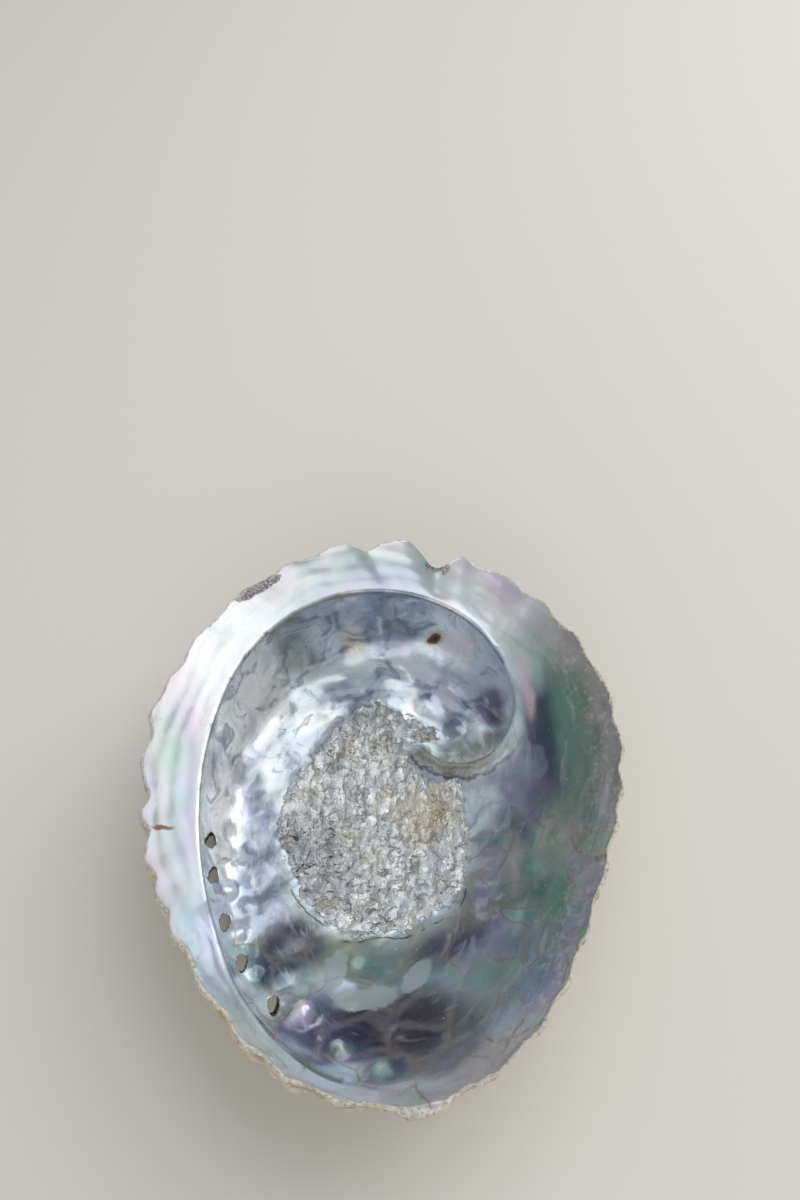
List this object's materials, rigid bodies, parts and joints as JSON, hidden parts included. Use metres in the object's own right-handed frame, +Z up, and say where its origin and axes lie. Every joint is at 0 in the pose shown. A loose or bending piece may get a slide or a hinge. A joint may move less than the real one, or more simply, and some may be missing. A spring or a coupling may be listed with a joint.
{
  "type": "abalone shell",
  "caption": "Ear-shaped abalone shell lying on its back: a deep mother-of-pearl bowl with a spiral inner shelf, a muscle scar and a row of breathing pores.",
  "frame": {"origin": "centre of the base, under the middle of the rim's bounding box", "axes": "+Z up out of the open bowl, +Y from the growing tip towards the old whorls, +X towards the plain right-hand margin"},
  "size_m": [0.1548, 0.195, 0.0532],
  "materials": {
    "shell": "polished mother-of-pearl inside, chalky crusted limestone outside"
  },
  "bodies": {
    "root": {"shell": "shell"}
  },
  "joints": []
}
